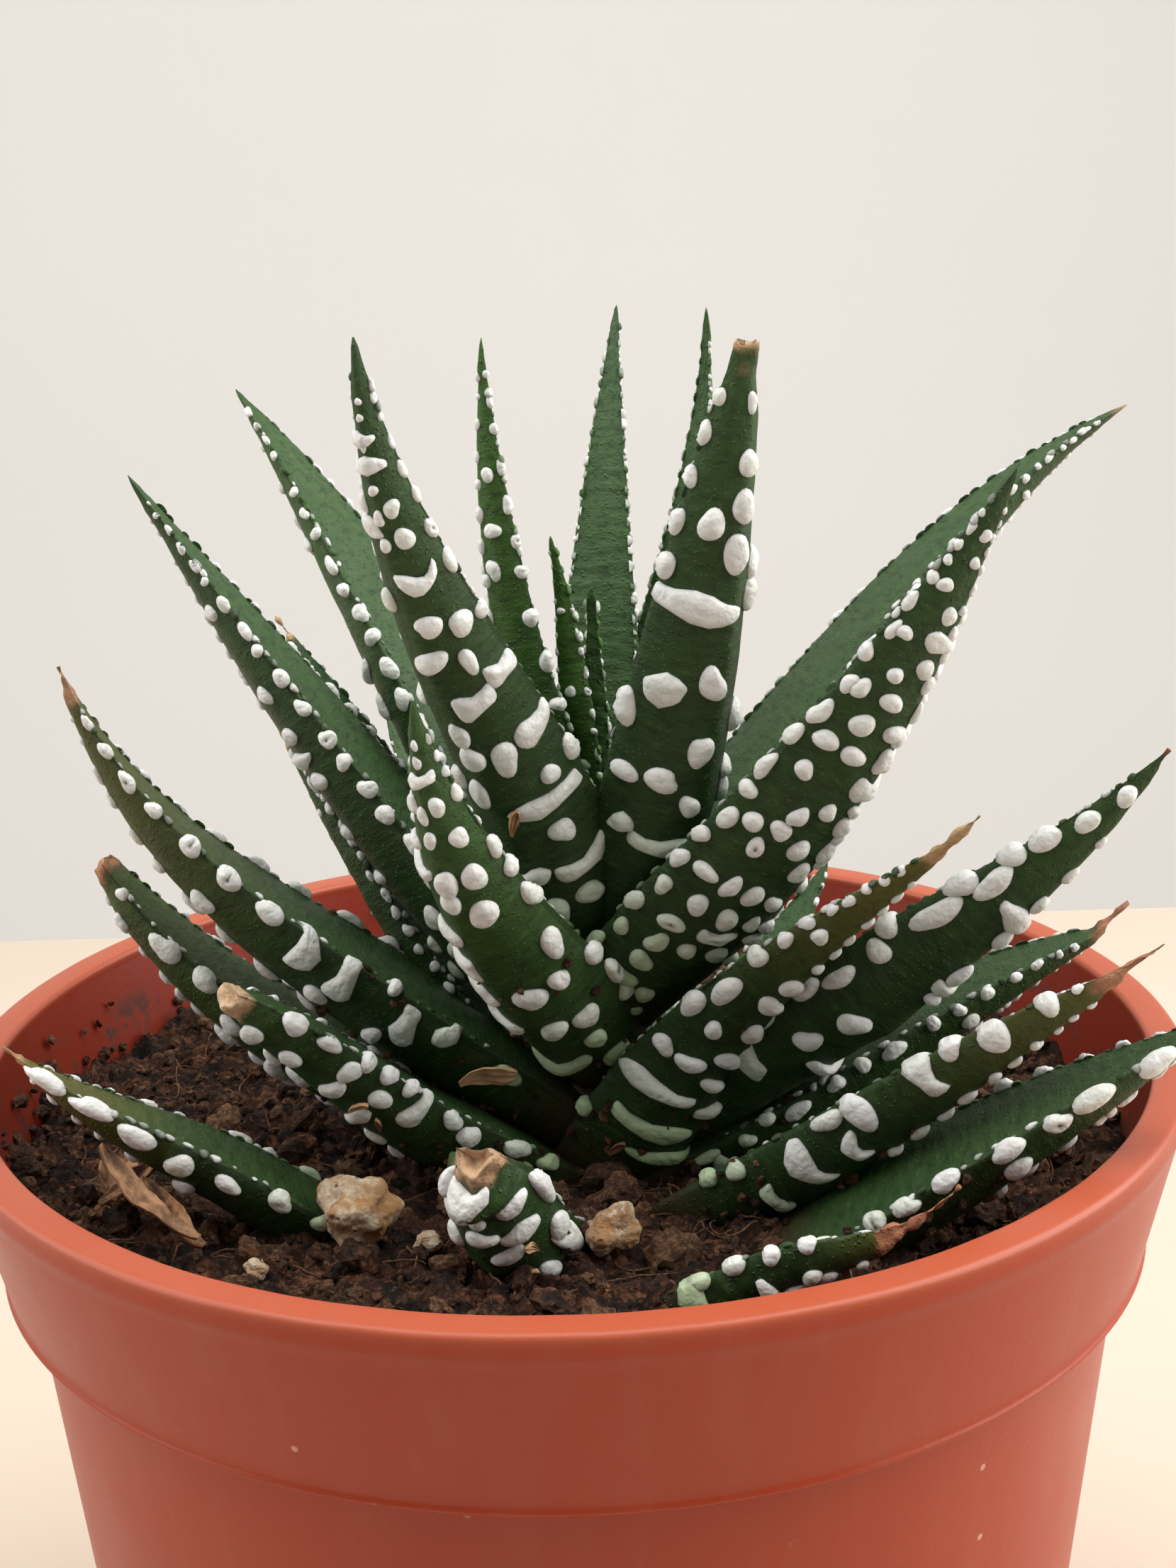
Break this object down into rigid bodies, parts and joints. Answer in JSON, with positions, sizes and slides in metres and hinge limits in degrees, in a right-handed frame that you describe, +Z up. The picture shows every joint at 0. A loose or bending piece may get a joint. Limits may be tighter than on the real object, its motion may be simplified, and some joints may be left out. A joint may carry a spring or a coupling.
{
  "type": "potted haworthia",
  "caption": "Small rosette succulent with dark green pointed leaves marked by raised white bumps and bands, growing in soil in a round plastic nursery pot with a collar.",
  "frame": {"origin": "centre of the pot's flat underside, where it rests", "axes": "+Z up along the pot's axis, -Y towards the front of the plant, +X to its right"},
  "size_m": [0.09, 0.09, 0.1236],
  "materials": {
    "pot_plastic": "satin, moulded",
    "peat_soil": "rough, crumbly",
    "stem_flesh": "rough",
    "leaf_flesh": "satin, with raised white bumps",
    "grit_stone": "rough, porous",
    "dry_leaf": "dry, crumpled"
  },
  "bodies": {
    "root": {"pot": "pot_plastic", "soil": "peat_soil", "stem": "stem_flesh", "leaf_01": "leaf_flesh", "leaf_02": "leaf_flesh", "leaf_03": "leaf_flesh", "leaf_04": "leaf_flesh", "leaf_05": "leaf_flesh", "leaf_06": "leaf_flesh", "leaf_07": "leaf_flesh", "leaf_08": "leaf_flesh", "leaf_09": "leaf_flesh", "leaf_10": "leaf_flesh", "leaf_11": "leaf_flesh", "leaf_12": "leaf_flesh", "leaf_13": "leaf_flesh", "leaf_14": "leaf_flesh", "leaf_15": "leaf_flesh", "leaf_16": "leaf_flesh", "leaf_17": "leaf_flesh", "leaf_18": "leaf_flesh", "leaf_19": "leaf_flesh", "leaf_20": "leaf_flesh", "leaf_21": "leaf_flesh", "leaf_22": "leaf_flesh", "leaf_23": "leaf_flesh", "leaf_24": "leaf_flesh", "leaf_25": "leaf_flesh", "leaf_26": "leaf_flesh", "leaf_27": "leaf_flesh", "leaf_28": "leaf_flesh", "leaf_29": "leaf_flesh", "grit_1": "grit_stone", "grit_2": "grit_stone", "grit_3": "grit_stone", "grit_4": "grit_stone", "grit_5": "grit_stone", "litter_1": "dry_leaf", "litter_2": "dry_leaf"}
  },
  "joints": []
}
